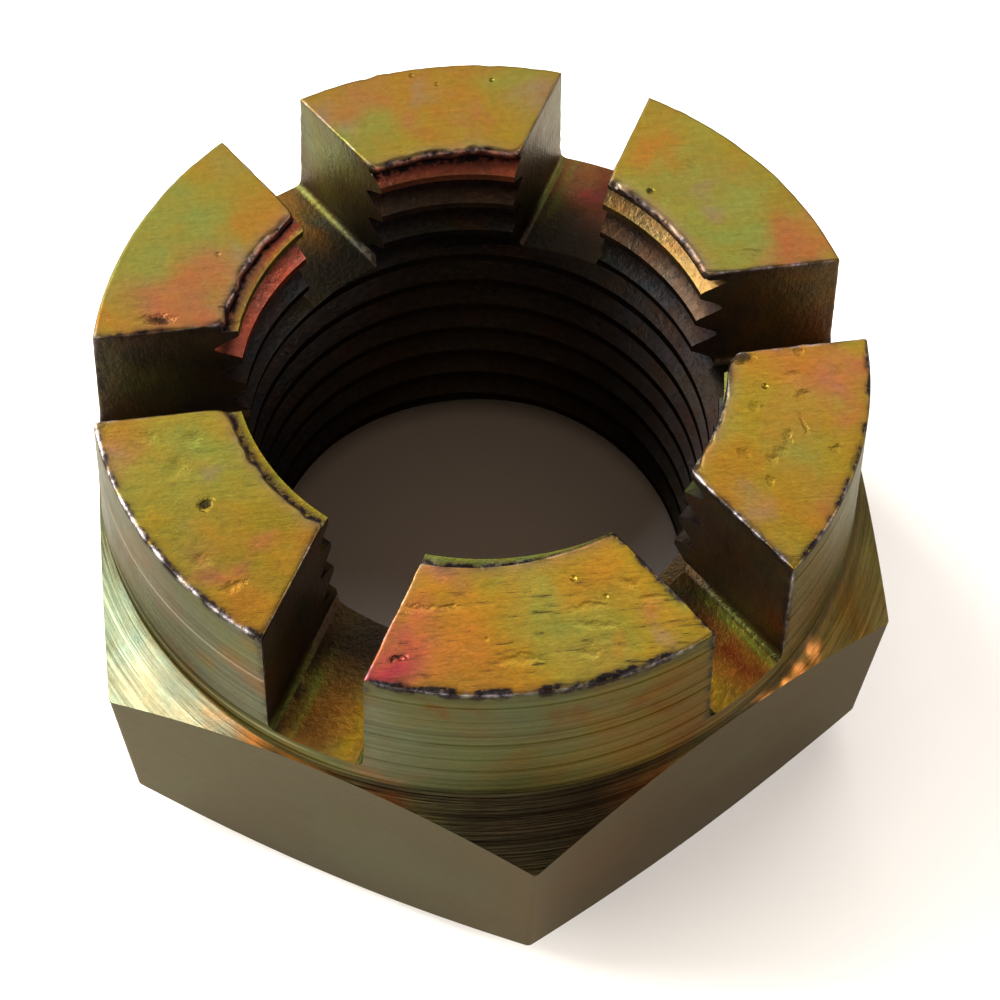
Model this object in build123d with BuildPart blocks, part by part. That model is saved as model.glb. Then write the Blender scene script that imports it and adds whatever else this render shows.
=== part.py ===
"""Castle nut, M24 x 2 with a 36 mm hexagon: one turned and slotted piece of bar.

Frame: origin at the centre of the bearing face, +Z along the thread axis towards the crown,
one corner of the hexagon towards -Y.
"""

import os
from math import cos, radians, tan

from build123d import *

# Hexagon and overall height
hexagon_sides = 6
across_flats = 36.0
height = 21.5

# Bearing side
bearing_diameter = 34.2
bearing_chamfer_angle = 30.0

# Crown: a slightly tapered tower, and the sloping shoulder that runs from it to the corners
crown_top_diameter = 34.2
crown_base_diameter = 35.9
crown_height = 8.2
crown_edge_break = 0.15
shoulder_angle = 36.5

# Thread M24 x 2: the hole is at the minor diameter, 1.0825 pitches under the nominal size
thread_diameter = 24.0
thread_pitch = 2.0
minor_diameter_drop = 1.0825
countersink_diameter = 25.0
countersink_angle = 90.0

# Cotter slots: three cuts right across the crown, each off centre by the same amount
slot_width = 4.45
slot_depth = 6.75
slot_floor_radius = 0.35
slot_offset = 0.37
slot_directions = (-60.0, 0.0, 60.0)
slot_turns = (2.9, 1.4, 1.2)

# How far the cuts run past the bar
overrun = 1.0

# Worked out from the sizes above
flat_radius = across_flats / 2
half_side_angle = 180 / hexagon_sides
corner_radius = flat_radius / cos(radians(half_side_angle))
bearing_radius = bearing_diameter / 2
crown_top_radius = crown_top_diameter / 2
crown_base_radius = crown_base_diameter / 2
minor_radius = (thread_diameter - minor_diameter_drop * thread_pitch) / 2
countersink_radius = countersink_diameter / 2
crown_base_z = height - crown_height
slot_floor_z = height - slot_depth
turning_radius = corner_radius + overrun
chamfer_rise = (turning_radius - bearing_radius) * tan(radians(bearing_chamfer_angle))
shoulder_drop = (turning_radius - crown_base_radius) * tan(radians(shoulder_angle))

with BuildPart() as castle_nut:
    # Hexagonal bar, one corner towards -Y
    with BuildSketch(Plane.XY) as bar_section:
        RegularPolygon(flat_radius, hexagon_sides, major_radius=False, rotation=half_side_angle)
    extrude(amount=height)

    # Turned outside: bearing chamfer, corners left as bar, shoulder, tapered crown
    with BuildSketch(Plane.XZ) as turned_section:
        with BuildLine():
            Polyline(
                (0, 0),
                (bearing_radius, 0),
                (turning_radius, chamfer_rise),
                (turning_radius, crown_base_z - shoulder_drop),
                (crown_base_radius, crown_base_z),
                (crown_top_radius, height - crown_edge_break),
                (crown_top_radius - crown_edge_break, height),
                (0, height),
                close=True,
            )
        make_face()
    revolve(axis=Axis.Z, mode=Mode.INTERSECT)

    # Threaded hole, left at its minor diameter, countersunk on the bearing side
    with Locations(Plane.XY.rotated((180, 0, 0))):
        CounterSinkHole(minor_radius, countersink_radius, counter_sink_angle=countersink_angle)

    # Cotter slots, cut through both walls of the crown
    for direction, turn in zip(slot_directions, slot_turns):
        along = Vector(1, 0, 0).rotate(Axis.Z, direction + turn)
        sideways = Vector(0, 1, 0).rotate(Axis.Z, direction + turn)
        with BuildSketch(Plane(origin=(0, 0, 0), x_dir=sideways, z_dir=along)) as slot_section:
            with Locations((slot_offset, slot_floor_z)):
                Rectangle(slot_width, slot_depth + overrun, align=(Align.CENTER, Align.MIN))
            fillet(slot_section.vertices().group_by(Axis.Z)[0], slot_floor_radius)
        extrude(amount=turning_radius, both=True, mode=Mode.SUBTRACT)

castle_nut.part.label = "castle_nut"
os.makedirs("parts", exist_ok=True)
export_step(castle_nut.part, "parts/castle_nut.step")
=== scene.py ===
"""Castle nut, M24 x 2 with a 36 mm hexagon, in worn yellow-passivated steel.

The nut is one closed shell worked out as numpy grids. Millimetres are used for its formulas
and metres for the mesh. The frame is the CAD frame: origin at the centre of the bearing face,
+Z along the thread axis towards the crown, one corner of the hexagon towards -Y.
"""

from functools import partial
from math import cos, pi, radians, sin, tan, tau
from types import SimpleNamespace

import bpy
import numpy as np
from mathutils import Matrix, Vector


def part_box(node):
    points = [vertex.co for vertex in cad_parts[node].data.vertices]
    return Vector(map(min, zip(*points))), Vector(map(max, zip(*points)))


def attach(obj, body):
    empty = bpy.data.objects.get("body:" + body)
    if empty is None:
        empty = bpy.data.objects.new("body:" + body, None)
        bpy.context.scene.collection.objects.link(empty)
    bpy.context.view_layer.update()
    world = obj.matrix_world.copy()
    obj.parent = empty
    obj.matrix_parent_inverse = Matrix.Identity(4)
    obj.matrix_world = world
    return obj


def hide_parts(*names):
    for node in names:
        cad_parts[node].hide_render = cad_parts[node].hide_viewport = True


bl_info = {
    "name": "Castle nut",
    "version": (1, 0, 0),
    "blender": (4, 5, 0),
    "location": "3D View > Sidebar > Castle nut",
    "description": "Builds a slotted hexagon nut with its thread, finish and studio",
    "category": "Add Mesh",
}

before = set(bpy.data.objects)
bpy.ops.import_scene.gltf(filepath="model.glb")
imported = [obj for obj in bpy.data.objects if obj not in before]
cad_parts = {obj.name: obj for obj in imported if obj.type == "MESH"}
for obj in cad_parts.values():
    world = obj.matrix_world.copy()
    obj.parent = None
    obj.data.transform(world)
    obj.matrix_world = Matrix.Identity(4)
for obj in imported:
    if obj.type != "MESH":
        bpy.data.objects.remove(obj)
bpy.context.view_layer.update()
LOW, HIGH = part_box("castle_nut")

MM = 0.001
SEED = 24
HEX_SIDES = 6
SIXTH = tau / HEX_SIDES
# Points are welded on a grid this fine, in millimetres
WELD = 1e-4
SHARP_ANGLE = radians(38)
# The crown's top, in millimetres
TOP_Z = round(HIGH.z / MM, 3)


def linear(code):
    """An sRGB hex colour as linear red, green and blue."""
    value = np.array([int(code[i : i + 2], 16) for i in (1, 3, 5)]) / 255
    return tuple(np.where(value <= 0.04045, value / 12.92, ((value + 0.055) / 1.055) ** 2.4))


def length(name, description, default):
    """A size property in metres, with its default given in millimetres."""
    return bpy.props.FloatProperty(
        name=name, description=description, default=default * MM, unit="LENGTH", precision=5
    )


def angle(name, description, default):
    """An angle property, with its default given in degrees."""
    return bpy.props.FloatProperty(
        name=name, description=description, default=radians(default), subtype="ANGLE"
    )


def colour(name, description, code):
    """A colour property, with its default given as sRGB hex."""
    return bpy.props.FloatVectorProperty(
        name=name, description=description, default=linear(code), subtype="COLOR", size=3,
        min=0, max=1,
    )


class NutSizes(bpy.types.PropertyGroup):
    """Sizes of the nut."""

    across_flats: length("Across flats", "Width of the hexagon", (HIGH.x - LOW.x) / MM)
    height: length("Height", "Overall height", (HIGH.z - LOW.z) / MM)
    bearing_radius: length("Bearing radius", "Outer radius of the bearing face", 17.1)
    chamfer_angle: angle("Chamfer angle", "Slope of the chamfer under the corners", 30)
    crown_top_radius: length("Crown top radius", "Crown radius at its top", 17.1)
    crown_base_radius: length("Crown base radius", "Crown radius at the shoulder", 17.95)
    crown_height: length("Crown height", "Height of the crown above the shoulder", 8.2)
    shoulder_angle: angle("Shoulder angle", "Slope of the shoulder to the corners", 36.5)
    undercut: length("Undercut", "Depth of the tool mark at the foot of the crown", 0.16)
    undercut_width: length("Undercut width", "Half height of that tool mark", 0.14)
    corner_round: length("Corner round", "Radius of the hexagon's corners", 0.3)
    crest_radius: length("Crest radius", "Inner radius of the thread crests", 10.88)
    root_radius: length("Root radius", "Radius of the thread roots", 12.0)
    pitch: length("Pitch", "Distance between thread crests", 2.0)
    crest_flat: length("Crest flat", "Width of each thread crest", 0.42)
    flank_angle: angle("Flank angle", "Slope of each thread flank", 30)
    crest_start: length("Crest start", "Height of a crest line at the +X axis", 19.8133)
    countersink_radius: length("Countersink", "Radius of the thread's lead-in", 12.5)
    slot_width: length("Slot width", "Width of the cotter slots", 4.45)
    slot_depth: length("Slot depth", "Depth of the cotter slots", 6.75)
    slot_floor_round: length("Slot floor round", "Radius at the foot of a slot wall", 0.35)
    slot_offset: length("Slot offset", "How far each cut is off the axis", 0.37)
    lip_radius: length("Lip radius", "Inner radius of the lip round the crown's mouth", 11.42)
    lip_depth: length("Lip depth", "Thickness of that lip", 0.55)
    lip_round: length("Lip round", "Radius of the lip's edge", 0.3)
    edge_round: length("Edge round", "Usual radius of the worn crown edges", 0.13)


class NutColours(bpy.types.PropertyGroup):
    """Colours of the finish."""

    gold: colour("Gold", "Full yellow chromate", "#725F14")
    olive: colour("Olive", "Thinner, greener chromate", "#61672A")
    amber: colour("Amber", "Thicker, warmer chromate", "#805315")
    rose: colour("Rose", "Interference pink", "#804032")
    magenta: colour("Magenta", "Interference red", "#7D1E32")
    mauve: colour("Mauve", "Rubbed film on the lip", "#6E5A4B")
    turned: colour("Turned", "Thin film on the turned crown", "#464425")
    sage: colour("Sage", "Greener film on the turned crown", "#3E4431")
    silver: colour("Silver", "Paler film on the left of the crown", "#535547")
    copper: colour("Copper", "Warm film on the turned crown", "#563D15")
    # Apricot: painted orange glints, highlights laid into the shoulder's film colour
    apricot: colour("Apricot", "Orange glints on the shoulder", "#B4743C")
    # Umber: a dark brown film on the flats, and painted shade on the front of the shoulder, at the
    # ends of the crown wall and along the crown's foot
    umber: colour("Umber", "Dark film on the front of the shoulder", "#1D1811")
    # Cream: a painted highlight on the left of the shoulder
    cream: colour("Cream", "Bright zinc on the shoulder", "#7C7B63")
    # Mint: a painted highlight, green, on the bright shoulder and at the feet of the slot walls
    mint: colour("Mint", "Green cast on the bright shoulder", "#4F5F55")
    honey: colour("Honey", "Strong gold on the shoulder", "#2A1A02")
    # Satin and bronze: the flats' film, partly a painted reflection of a dark brown floor, which
    # makes it darker and browner
    satin: colour("Satin", "Brown grey of the bar's flats", "#363125")
    bronze: colour("Bronze", "Warmer film on the bar's flats", "#311B07")
    # Shade: the slot walls' dark film, partly painted shade in the narrow slots
    shade: colour("Shade", "Dark film in the slots", "#3A2E25")
    rust: colour("Rust", "Red brown film on the slot floors", "#4D230D")
    ochre: colour("Ochre", "Dull yellow film on the slot floors", "#634A1B")
    # Moss: a green film, and a painted highlight along the round at the foot of a slot wall
    moss: colour("Moss", "Green line at the foot of a slot wall", "#606924")
    # Pitch: painted shade deep in the bore and in the thread's roots, along the feet of the slot
    # walls and on the back slot walls
    pitch: colour("Pitch", "Darkest film, deep in the bore", "#0F0A0A")
    # Bore: the thread's dark film, partly painted shade deep in the bore
    bore: colour("Bore", "Dark film on the thread", "#1E1E1F")
    straw: colour("Straw", "Bright film on the thread", "#634D2F")
    bare: colour("Bare edge", "Metal where the film is rubbed off", "#B6ADB1")
    # Burr: dark torn metal, and also the painted shadow under the lip
    burr: colour("Burr", "Dark torn metal", "#171113")
    floor: colour("Floor", "Studio floor", "#F4F3F1")


# Merlons, the solid teeth of the crown, counter-clockwise from the front corner.
MERLONS = ("front", "right", "back_right", "back", "back_left", "left")
# The cuts go right across, so each gives two notches. Notch n lies after merlon n, and this
# many degrees beyond the even place.
CUT_TURNS = (2.9, 1.4, 1.2)

# Places of grid lines. Next to an edge, in millimetres from it:
EDGE_LINES = np.array([0, 0.05, 0.11, 0.19, 0.32, 0.5])
# Next to a corner of the hexagon, in degrees from it:
CORNER_LINES = (-0.5, -0.25, 0, 0.25, 0.5)
# Rows of the thread, in pitches from a crest line, on the merlons and in the bore below them:
UPPER_ROWS = (-0.16, -0.09, 0.09, 0.16, 0.31, 0.46, 0.54, 0.69)
LOWER_ROWS = (-0.12, 0.12, 0.30, 0.47, 0.53, 0.70)
# Rows of the lip, as shares of its depth below the top:
LIP_ROWS = np.array([0.94, 0.8, 0.55, 0.32, 0.14, 0])
# Columns between the lines of a corner and an edge, between those of the thread's edge and the
# wall's, and across a notch's floor, each counting both ends:
SIDE_COLUMNS = 23
DEPTH_COLUMNS = 14
NOTCH_COLUMNS = 21
# Rounds after which a point on the thread has settled
SETTLE_ROUNDS = 12


def nut_sizes(props):
    """The property group's sizes in millimetres and angles in radians, with what follows
    from them."""
    s = SimpleNamespace()
    for name in NutSizes.__annotations__:
        value = getattr(props, name)
        setattr(s, name, value if name.endswith("angle") else value / MM)
    s.flat_radius = s.across_flats / 2
    s.shoulder_z = s.height - s.crown_height
    s.floor_z = s.height - s.slot_depth
    s.notches = []
    for n in range(HEX_SIDES):
        side = 1 if n < 3 else -1
        middle = -pi / 3 + n * SIXTH + radians(CUT_TURNS[n % 3])
        s.notches.append((middle, s.slot_offset * side))
    return s


def polar(turn, r, z):
    """Points from an angle about the axis, a radius and a height."""
    turn, r, z = np.broadcast_arrays(turn, r, z)
    return np.stack([r * np.cos(turn), r * np.sin(turn), z], -1)


def ripple(points, size, seed, waves=14):
    """Smooth random field of about unit strength: a sum of sine waves whose lengths lie near
    the given size in millimetres, with seeded directions and phases."""
    rng = np.random.default_rng(SEED + seed)
    way = rng.normal(size=(waves, 3))
    way *= (tau / size) * rng.uniform(0.6, 1.6, (waves, 1)) / np.linalg.norm(way, axis=1)[:, None]
    phase = rng.uniform(0, tau, waves)
    return np.sin(points @ way.T + phase).sum(-1) * (2 / waves) ** 0.5


def smooth(low, high, value):
    """Eased step from 0 below low to 1 above high."""
    t = np.clip((value - low) / (high - low), 0, 1)
    return t * t * (3 - 2 * t)


def bell(away, width):
    """Bell curve: 1 where away is 0, and 0.37 where it equals the width."""
    return np.exp(-((away / width) ** 2))


def crown_radius(z, s):
    """Tapered crown: a straight line from the base radius to the top radius, with a small
    rounded groove at its foot."""
    share = (z - s.shoulder_z) / s.crown_height
    groove = s.undercut * bell(z - s.shoulder_z - s.undercut_width, s.undercut_width)
    return s.crown_base_radius + (s.crown_top_radius - s.crown_base_radius) * share - groove


def hex_radius(turn, s):
    """Hexagon in polar form: the half width over the cosine of the angle from the nearest
    flat, and near a corner the circle of the corner's round."""
    off = (turn + SIXTH / 2) % SIXTH - SIXTH / 2
    flat = s.flat_radius / np.cos(off)
    centre = (s.flat_radius - s.corner_round) / cos(SIXTH / 2)
    away = SIXTH / 2 - abs(off)
    reach = np.arctan2(s.corner_round / 2, centre + s.corner_round * cos(SIXTH / 2))
    arc = centre * np.cos(away) + np.sqrt(
        np.maximum(s.corner_round**2 - (centre * np.sin(away)) ** 2, 0)
    )
    return np.where(away < reach, arc, flat)


def crest_height(turn, s):
    """Right-hand helix: a crest line climbs one pitch per turn."""
    return s.crest_start + turn / tau * s.pitch


def thread_radius(turn, z, s):
    """Thread surface: the axial distance from the nearest crest line gives the crest radius on
    the flat, then a straight flank, then the root radius."""
    away = abs((z - crest_height(turn, s) + s.pitch / 2) % s.pitch - s.pitch / 2)
    flank = s.crest_radius + (away - s.crest_flat / 2) / tan(s.flank_angle)
    return np.clip(flank, s.crest_radius, s.root_radius)


def lip_radius(turn, s):
    """Mouth of the crown: a torn lip of uneven radius, or the thread where that is smaller."""
    uneven = 0.045 * ripple(polar(turn, s.lip_radius, 0.0), 1.3, 7)
    rolled_up = 0.2
    return np.minimum(thread_radius(turn, s.height + rolled_up, s), s.lip_radius + uneven)


def lip_depth(turn, s):
    """Depth of the lip: down to the first crest where that lies just below the top, and no
    more than the usual depth elsewhere."""
    gap = s.height - crest_height(turn, s) - s.crest_flat / 2
    gap = (gap + s.pitch / 2) % s.pitch - s.pitch / 2
    thinnest = 0.06
    return np.clip(np.where(gap > 0, gap, -1.5 * gap), thinnest, s.lip_depth)


def mouth_radius(turn, z, s):
    """Thread surface up to the underside of the lip, then the lip, a little hollow below."""
    rise = z - s.height + lip_depth(turn, s)
    hollow = 0.1
    lip = lip_radius(turn, s) + hollow * bell(rise, hollow)
    return np.where(rise > WELD, lip, thread_radius(turn, z, s))


def slot_half(z, s):
    """Half width of a slot: full above the floor's round, and narrowed by that quarter circle
    below it."""
    drop = np.clip(s.floor_z + s.slot_floor_round - z, 0, s.slot_floor_round)
    return s.slot_width / 2 - s.slot_floor_round + np.sqrt(s.slot_floor_round**2 - drop**2)


def merlon_turn(u, r, z, m, s):
    """Angle across a merlon, from its clockwise wall at u = 0 to the other at u = 1. Both walls
    are flat, so each lies at the notch's angle plus the arcsine of its offset over r."""
    (low, low_off), (high, high_off) = m
    first = low + np.arcsin((low_off + slot_half(z, s)) / r)
    last = high + np.arcsin((high_off - slot_half(z, s)) / r)
    return first + u * (last - first)


def notch_turn(t, r, notch, s):
    """Angle across a notch's floor, from t = -1 to t = 1."""
    middle, off = notch
    flat = s.slot_width / 2 - s.slot_floor_round
    return middle + np.arcsin((off + t * flat) / r)


def settle(turn_of, height_of, radius_of, start, s):
    """Angle, height and radius depend on one another, so they are worked out in turn until they
    agree."""
    turn = turn_of(start, s.floor_z)
    for _ in range(SETTLE_ROUNDS):
        z = height_of(turn)
        r = radius_of(turn, z, s)
        turn = turn_of(r, z)
    z = height_of(turn)
    return turn, radius_of(turn, z, s), z


def merlon_lines(m, corner, s):
    """Column places across a merlon: close together at both walls and at the hexagon's corner."""
    r = crown_radius(s.floor_z, s)
    first, last = (merlon_turn(u, r, s.height, m, s) for u in (0, 1))
    span = last - first
    edge = EDGE_LINES / (span * r)
    near = np.radians(CORNER_LINES) / span + (corner - first) / span
    left = np.linspace(edge[-1], near[0], SIDE_COLUMNS)[1:-1]
    right = np.linspace(near[-1], 1 - edge[-1], SIDE_COLUMNS)[1:-1]
    return np.concatenate([edge, left, near, right, 1 - edge[::-1]])


def depth_lines():
    """Places from the thread at 0 to the outer wall at 1, closer together at both ends."""
    usual_depth = 5.6
    edge = EDGE_LINES / usual_depth
    even = np.linspace(edge[-1], 1 - edge[-1], DEPTH_COLUMNS)[1:-1]
    return np.concatenate([edge, even, 1 - edge[::-1]])


def wall_heights(count, s):
    """Row heights of the crown wall: the round at the floor, even rows, and closer rows at the
    top edge."""
    arc = s.floor_z + s.slot_floor_round * (1 - np.cos(np.linspace(0, pi / 2, 5)))
    top = s.height - EDGE_LINES[::-1]
    even = np.linspace(arc[-1], top[0], count - len(arc) - len(top) + 2)[1:-1]
    return np.concatenate([arc, even, top])


def helix_offsets(lines, low, high, s):
    """Row offsets from a crest line for every pitch from low to high."""
    pitches = np.arange(np.floor(low / s.pitch) - 1, np.ceil(high / s.pitch) + 2) * s.pitch
    rows = (pitches[:, None] + np.array(lines) * s.pitch).ravel()
    inside = (rows > low) & (rows < high)
    first, last = np.flatnonzero(inside)[[0, -1]]
    return rows[max(first - 1, 0) : last + 2]


class Shell:
    """Collects grid patches and welds them into one mesh."""

    def __init__(self):
        self.points, self.quads, self.fields, self.kinds = [], [], [], []
        self.count = 0

    def add(self, points, kind, flip, tint, bright=0.0, dark=0.0):
        """A grid of points with its finish, film colour, rubbed share, and share of torn metal and
        painted shadow. Its faces are turned over where flip says so."""
        rows, columns = points.shape[:2]
        index = self.count + np.arange(rows * columns).reshape(rows, columns)
        quad = np.stack([index[:-1, :-1], index[1:, :-1], index[1:, 1:], index[:-1, 1:]], -1)
        quad = quad.reshape(-1, 4)
        self.quads.append(quad[:, ::-1] if flip else quad)
        self.kinds.append(np.full(len(quad), kind))
        self.points.append(points.reshape(-1, 3))
        fields = {"bright": bright, "dark": dark, "tint": tint}
        self.fields.append({
            name: np.broadcast_to(value, (rows, columns) + np.shape(value)[2:]).reshape(
                rows * columns, -1
            )
            for name, value in fields.items()
        })
        self.count += rows * columns

    def mesh(self, name):
        """Points that fall together become one. Quads that shrink to a line go, and those that
        shrink to three corners become triangles."""
        points = np.concatenate(self.points)
        quads = np.concatenate(self.quads)
        kinds = np.concatenate(self.kinds)
        _, first, inverse = np.unique(
            np.round(points / WELD).astype(np.int64), axis=0, return_index=True, return_inverse=True
        )
        welded = inverse.ravel()[quads]
        keep = welded != np.roll(welded, 1, axis=1)
        sides = keep.sum(1)
        crossed = (welded[:, 0] == welded[:, 2]) | (welded[:, 1] == welded[:, 3])
        good = (sides >= 3) & ~crossed
        keep &= good[:, None]
        corners = welded[keep]
        sources = quads[keep]
        totals = sides[good]
        mesh = bpy.data.meshes.new(name)
        mesh.vertices.add(len(first))
        mesh.vertices.foreach_set("co", (points[first] * MM).astype(np.float32).ravel())
        mesh.loops.add(len(corners))
        mesh.loops.foreach_set("vertex_index", corners.astype(np.int32))
        mesh.polygons.add(len(totals))
        starts = np.concatenate([[0], np.cumsum(totals)[:-1]])
        mesh.polygons.foreach_set("loop_start", starts.astype(np.int32))
        mesh.polygons.foreach_set("material_index", kinds[good].astype(np.int32))
        mesh.update(calc_edges=True)
        for field in self.fields[0]:
            values = np.concatenate([f[field] for f in self.fields])[sources]
            if values.shape[1] == 1:
                attribute = mesh.attributes.new(field, "FLOAT", "CORNER")
                attribute.data.foreach_set("value", values.astype(np.float32).ravel())
            else:
                attribute = mesh.attributes.new(field, "FLOAT_COLOR", "CORNER")
                values = np.concatenate([values, np.ones((len(values), 1))], 1)
                attribute.data.foreach_set("color", values.astype(np.float32).ravel())
        mesh.polygons.foreach_set("use_smooth", np.ones(len(totals), bool))
        mesh.set_sharp_from_angle(angle=SHARP_ANGLE)
        return mesh


# The finishes, in the order of the mesh's material slots.
TOP, TURNED, FLAT, SLOT, THREAD, SHOULDER = range(6)

# Each merlon's edges: how bright the rubbed line and how dark the torn line is on the outer
# edge, the clockwise edge, the counter-clockwise edge and the inner edge.
EDGE_STYLE = {
    "front": ((0.15, 1.5), (0.12, 0.1), (0.1, 0.9), (0.1, 0.3)),
    "right": ((0.1, 0.8), (0.7, 0.6), (0.4, 0.4), (0.15, 0.5)),
    "back_right": ((0.05, 0.1), (0.2, 0.3), (0.05, 0.1), (0.1, 0.6)),
    "back": ((0.0, 0.1), (0.05, 0.1), (0.1, 0.1), (0.1, 0.6)),
    "back_left": ((0.05, 0.1), (0.15, 0.1), (0.3, 0.6), (0.1, 0.6)),
    "left": ((0.55, 1.0), (0.2, 0.2), (0.1, 0.3), (0.1, 0.4)),
}


def soften(points, m, s):
    """Rounds the merlon's convex edges and roughens them. The inward distances from the top,
    the crown wall, the two slot walls and the lip are pulled on to a ball of the edge radius
    wherever they are smaller than it. Returns the new points and those distances."""
    r = np.hypot(points[..., 0], points[..., 1])
    out = points * (1, 1, 0) / r[..., None]
    down = np.broadcast_to(np.array([0, 0, -1.0]), points.shape)
    ways = [down, -out]
    gaps = [s.height - points[..., 2], crown_radius(points[..., 2], s) - r]
    for (middle, off), side in zip(m, (1, -1)):
        across = np.array([-sin(middle), cos(middle), 0]) * side
        gaps.append(points @ across - off * side - slot_half(points[..., 2], s))
        ways.append(np.broadcast_to(across, points.shape))
    turn = np.arctan2(points[..., 1], points[..., 0])
    depth = lip_depth(turn, s)
    mouth = points[..., 2] > s.height - depth + WELD
    gaps.append(np.where(mouth, r - lip_radius(turn, s), s.crown_height))
    ways.append(out)
    gaps = np.maximum(np.stack(gaps, -1), 0)
    # No round at the slot floors, where the walls have to meet them
    fade = smooth(s.floor_z + 0.4, s.floor_z + 1.2, points[..., 2])
    lip_ball = np.minimum(s.lip_round, 0.8 * depth)
    ball = s.edge_round + (lip_ball - s.edge_round) * bell(gaps[..., 4], 0.5)
    ball = ball * fade * (1 + 0.3 * ripple(points, 1.1, 1) * ripple(points, 4, 2))
    ball = np.maximum(ball, 1e-6)[..., None]
    short = np.minimum(gaps - ball, 0)
    size = np.linalg.norm(short, axis=-1, keepdims=True)
    pull = short * (ball / np.maximum(size, ball)) - short
    moved = points + sum(pull[..., i : i + 1] * ways[i] for i in range(5))
    return moved, gaps


def wear(points, gaps, style):
    """Rubbed and torn shares next to the edges: each falls off with the distance in millimetres
    to its edge, and seeded ripples break it up."""
    order = np.sort(gaps, -1)
    gap = order[..., 1]
    near = gaps[..., 1:]
    share = bell(near, 0.35)
    share[..., 0] *= bell(gaps[..., 0], 0.6)
    share /= np.maximum(share.sum(-1, keepdims=True), 1)
    bright = (share * [e[0] for e in style]).sum(-1)
    dark = (share * [e[1] for e in style]).sum(-1)
    patchy = 1.2 * smooth(-0.9, 0.9, ripple(points, 1.3, 3))
    torn = 0.15 + smooth(-1.2, 0.6, ripple(points, 1.2, 4))
    below = 0.12 + 0.88 * bell(gaps[..., 0], 0.8)
    bright = bright * below * patchy * bell(gap, 0.11)
    dark = dark * torn * bell(gap, 0.34)
    return np.clip(bright, 0, 1), np.clip(dark, 0, 1)


def mixed(tint, name, share, palette):
    """The tint with a palette colour laid over it by a share at each point."""
    share = np.asarray(share)[..., None]
    return tint * (1 - share) + np.array(palette[name]) * share


def tinted(points, kind, base, palette):
    """Film colour: the base colour, drifting to greener and redder film where three seeded
    ripples are high, then each stain mixed in by a bell curve of the distance from its centre,
    whose outline more ripples distort."""
    tint = np.broadcast_to(np.array(palette[base]), points.shape).copy()
    evenness = 0.25 if kind == FLAT else 1
    for name, size, share in (("olive", 5.0, 0.25), ("amber", 3.6, 0.3), ("rose", 6.0, 0.15)):
        share = share * evenness
        share = (share * smooth(0.2, 1.4, ripple(points, size, len(name))))[..., None]
        level = tint.mean(-1, keepdims=True) / np.mean(palette[name])
        tint = tint * (1 - share) + np.array(palette[name]) * level * share
    warp = sum(
        amount * np.stack([ripple(points, size, k) for k in (11, 12, 13)], -1)
        for size, amount in ((3.4, 0.4), (1.1, 0.16))
    )
    for name, turn, r, z, size, strength in STAINS[kind]:
        away = np.linalg.norm(points + warp - polar(radians(turn), r, z), axis=-1) / size
        tint = mixed(tint, name, strength * bell(away, 1), palette)
    return tint


# For each merlon: how light its top is, as painted light and shade, how much its lip is rubbed,
# the film of its outer wall and of its first two turns of thread, the latter partly painted light,
# and how green the first crest is
TOP_LEVEL = (1.21, 1.02, 0.84, 0.77, 0.775, 0.9)
LIP_RUB = (0.3, 0.5, 0.9, 0.4, 0.5, 0.3)
WALLS = ("turned", "turned", "turned", "turned", "turned", "silver")
FIRST_TURN = ("olive", "bore", "straw", "rose", "rose", "gold")
SECOND_TURN = ("bore", "bore", "shade", "shade", "rose", "bore")
CREST_MOSS = (0.1, 0.4, 0.1, 0.1, 0.6, 0.3)

# Each slot floor's level, a painted light and shade, and its bands: colour, place from -1 to 1
# across, half width, strength. The pitch band is painted shade, and the narrow mint and moss lines
# next to the walls are painted highlights
FLOOR_LEVEL = (1.9, 1.0, 0.65, 0.55, 1.0, 1.7)
FLOOR_BANDS = (
    (("gold", -0.6, 0.35, 0.8), ("rust", 0.35, 0.3, 0.95), ("moss", 0.9, 0.09, 1.0)),
    (("amber", 0.0, 0.5, 0.5),),
    (("moss", 0.75, 0.12, 0.4), ("rust", -0.4, 0.4, 0.8)),
    (("mint", -0.9, 0.09, 0.15), ("amber", -0.4, 0.3, 0.9), ("copper", 0.5, 0.5, 0.8)),
    (("amber", 0.0, 0.5, 0.5),),
    (("pitch", -1.0, 0.3, 0.9), ("moss", -0.6, 0.08, 0.5), ("copper", -0.1, 0.35, 0.8),
     ("gold", 0.7, 0.25, 0.95)),
)

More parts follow.
